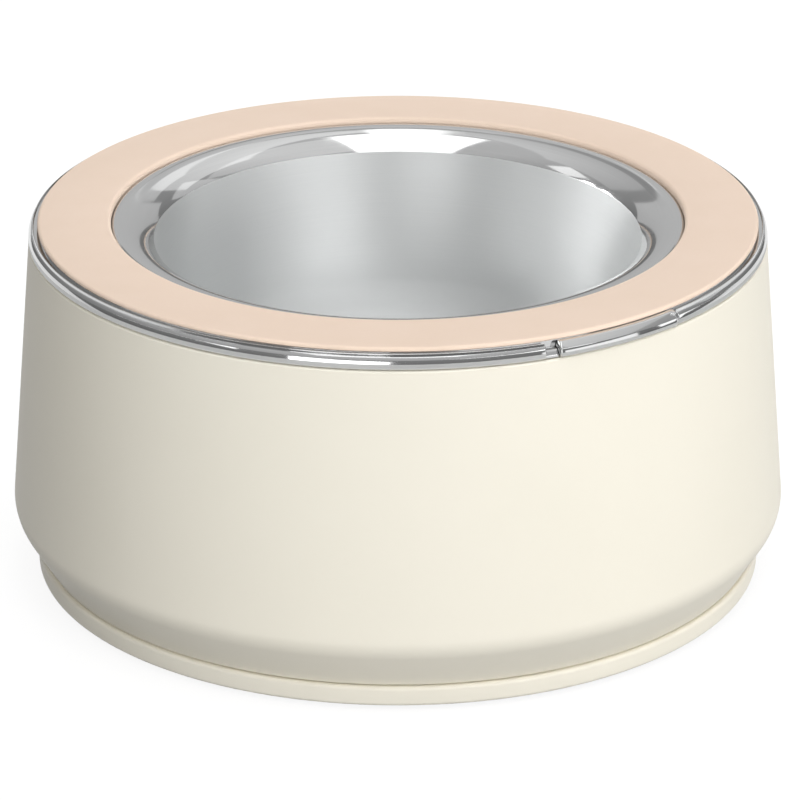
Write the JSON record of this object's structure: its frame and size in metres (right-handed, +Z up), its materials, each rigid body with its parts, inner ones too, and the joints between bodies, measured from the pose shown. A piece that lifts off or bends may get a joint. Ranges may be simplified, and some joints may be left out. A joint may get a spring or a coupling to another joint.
{
  "type": "pet bowl",
  "caption": "Round pet bowl: a lift-out steel bowl with a soft top ring and a polished rim band that has a swing-out lift tab, in a flared moulded stand.",
  "frame": {"origin": "on the floor under the middle of the stand", "axes": "+Z up along the bowl's axis, front of the bowl towards -Y, lift tab at front right"},
  "size_m": [0.23, 0.23, 0.109],
  "materials": {
    "cream_plastic": "fine satin moulding",
    "peach_silicone": "matte silicone",
    "polished_steel": "mirror polished",
    "satin_steel": "satin inside, polished lip",
    "screw_steel": "zinc plated",
    "soft_rubber": "matte"
  },
  "bodies": {
    "stand": {"stand_shell": "cream_plastic", "base_plate": "cream_plastic", "base_screw_1": "screw_steel", "base_screw_2": "screw_steel", "base_screw_3": "screw_steel", "base_screw_4": "screw_steel", "base_screw_5": "screw_steel", "base_screw_6": "screw_steel", "rubber_foot_1": "soft_rubber", "rubber_foot_2": "soft_rubber", "rubber_foot_3": "soft_rubber", "rubber_foot_4": "soft_rubber", "rubber_foot_5": "soft_rubber", "rubber_foot_6": "soft_rubber"},
    "insert": {"steel_bowl": "satin_steel", "rim_band": "polished_steel", "seat_seal": "soft_rubber", "tab_pin": "screw_steel"},
    "ring": {"top_ring": "peach_silicone"},
    "tab": {"lift_tab": "polished_steel"}
  },
  "joints": [
    {"name": "insert_lift", "type": "slide", "parent": "stand", "child": "insert", "axis": [0, 0, 1], "range_m": [0, 0.075]},
    {"name": "ring_lift", "type": "slide", "parent": "insert", "child": "ring", "axis": [0, 0, 1], "range_m": [0, 0.03]},
    {"name": "tab_swing", "type": "hinge", "parent": "insert", "child": "tab", "pos_m": [0.07654, -0.07576, 0.10555], "axis": [0, 0, 1], "range_deg": [0, 85]}
  ]
}
